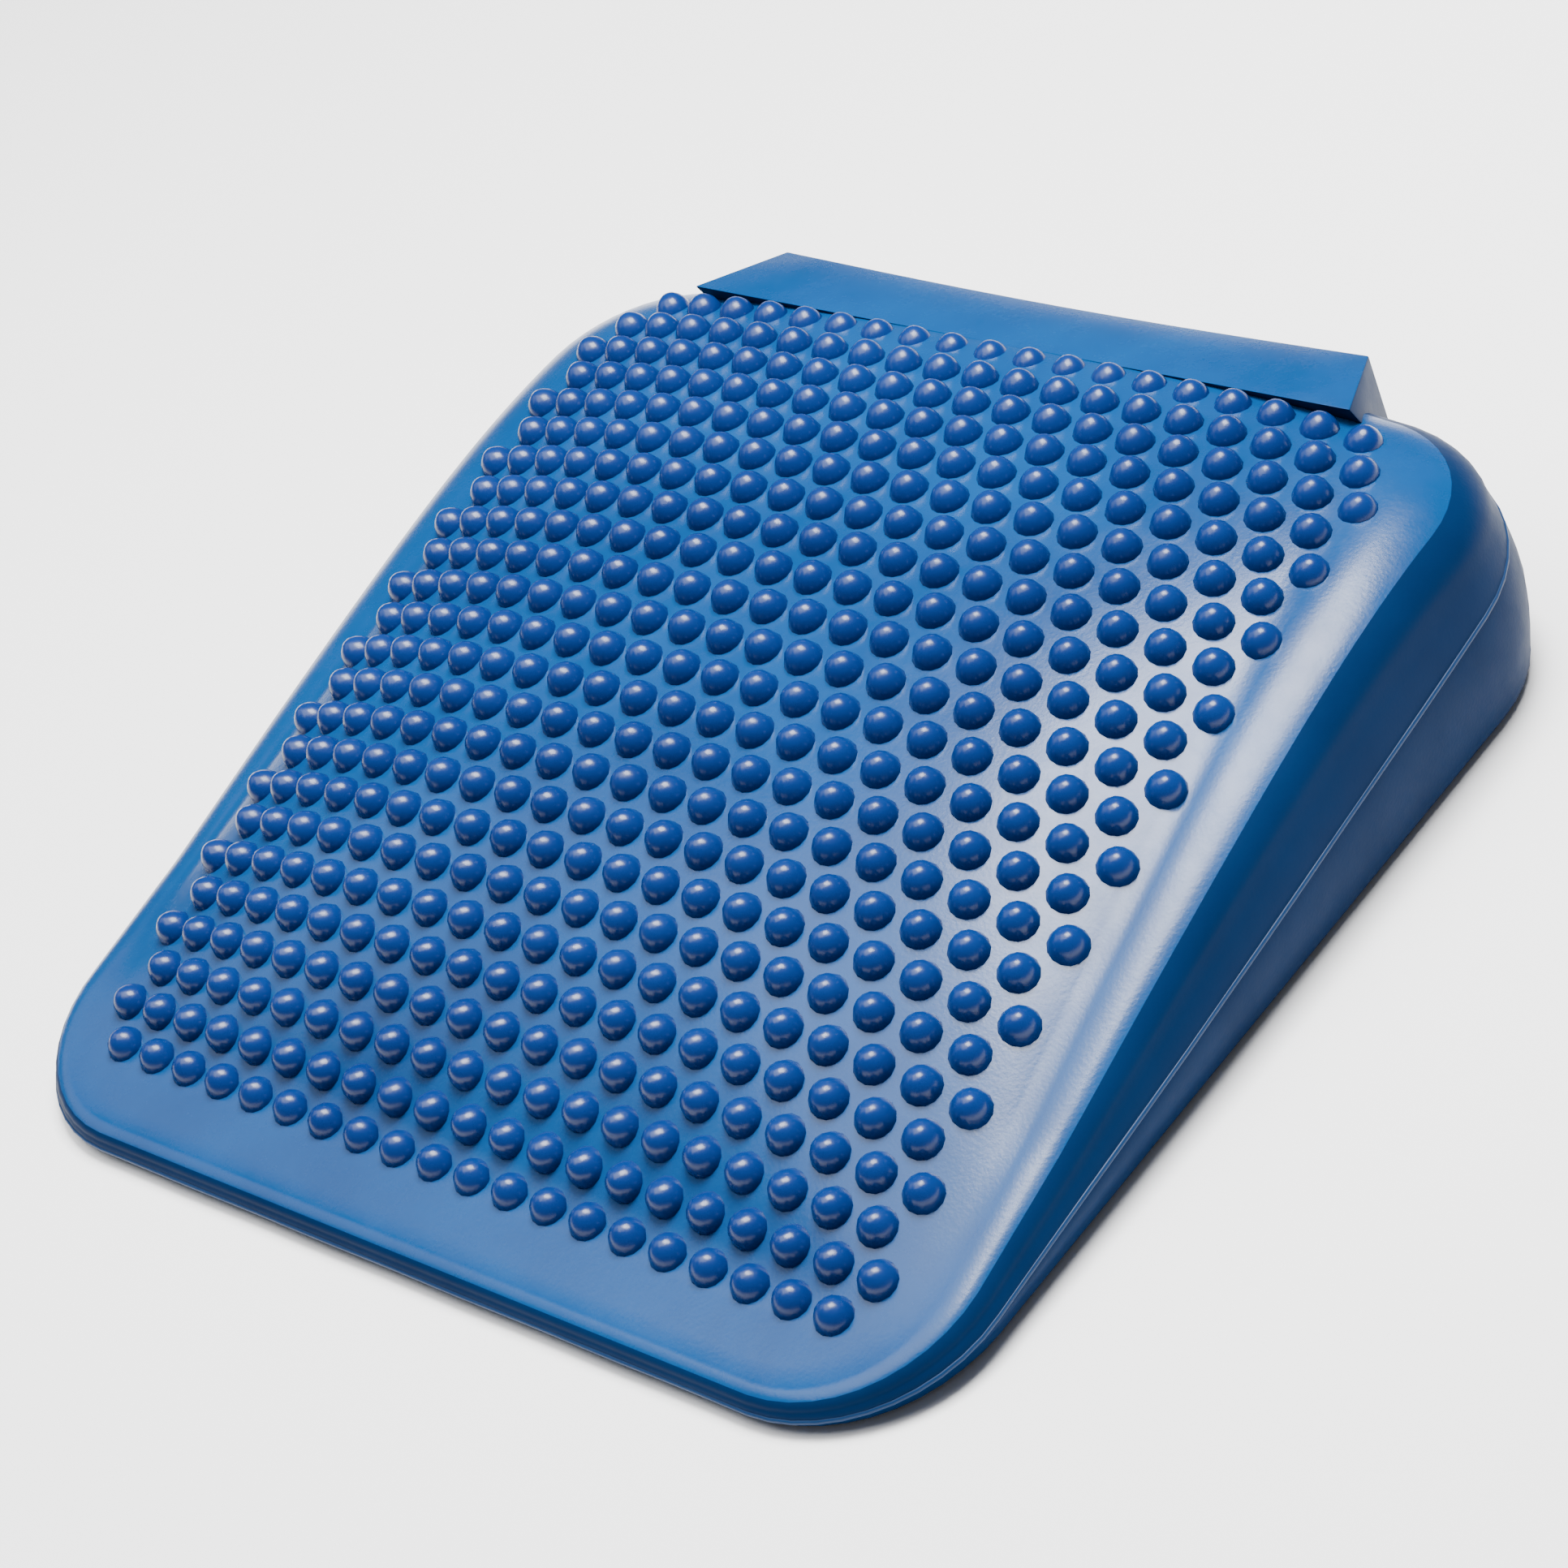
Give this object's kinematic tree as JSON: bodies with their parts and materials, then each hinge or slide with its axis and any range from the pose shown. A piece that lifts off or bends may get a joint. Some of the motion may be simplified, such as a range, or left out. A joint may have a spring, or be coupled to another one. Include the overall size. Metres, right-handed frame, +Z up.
{
  "type": "wedge wobble cushion",
  "caption": "Inflatable wedge seat cushion with a crowned, studded top, flat underside, parting bead and rear valve pad; it tips fore-aft and side to side.",
  "frame": {"origin": "bottom centre of the bounding box, on the floor", "axes": "+Z up, +Y from the thin edge to the thick back, +X across the cushion"},
  "size_m": [0.3626, 0.3542, 0.0926],
  "materials": {
    "skin": "satin-gloss moulded PVC",
    "bead": "moulded parting ridge",
    "studs": "satin-gloss moulded PVC",
    "valve_rubber": "matte moulded rubber",
    "plug_rubber": "matte moulded rubber"
  },
  "bodies": {
    "base": {"bottom_panel": "skin", "lower_wall": "skin", "parting_bead": "bead"},
    "shell": {"upper_wall": "skin", "rear_pad": "skin", "valve_sleeve": "valve_rubber"},
    "crown": {"top_panel": "skin", "massage_studs": "studs"},
    "plug": {"valve_plug": "plug_rubber"}
  },
  "joints": [
    {"name": "wedge_press", "type": "hinge", "parent": "base", "child": "shell", "pos_m": [0, -0.172, 0.0055], "axis": [1, 0, 0], "range_deg": [-4, 2], "stiffness_Nm_per_rad": 900, "deforming": ["lower_wall", "parting_bead", "upper_wall"]},
    {"name": "crown_rock", "type": "hinge", "parent": "shell", "child": "crown", "pos_m": [0, 0, 0.0485], "axis": [0, 0.9759, 0.2181], "range_deg": [-3, 3], "stiffness_Nm_per_rad": 300, "deforming": ["top_panel"]},
    {"name": "plug_pull", "type": "slide", "parent": "shell", "child": "plug", "axis": [0, 1, 0], "range_m": [0, 0.015]}
  ]
}
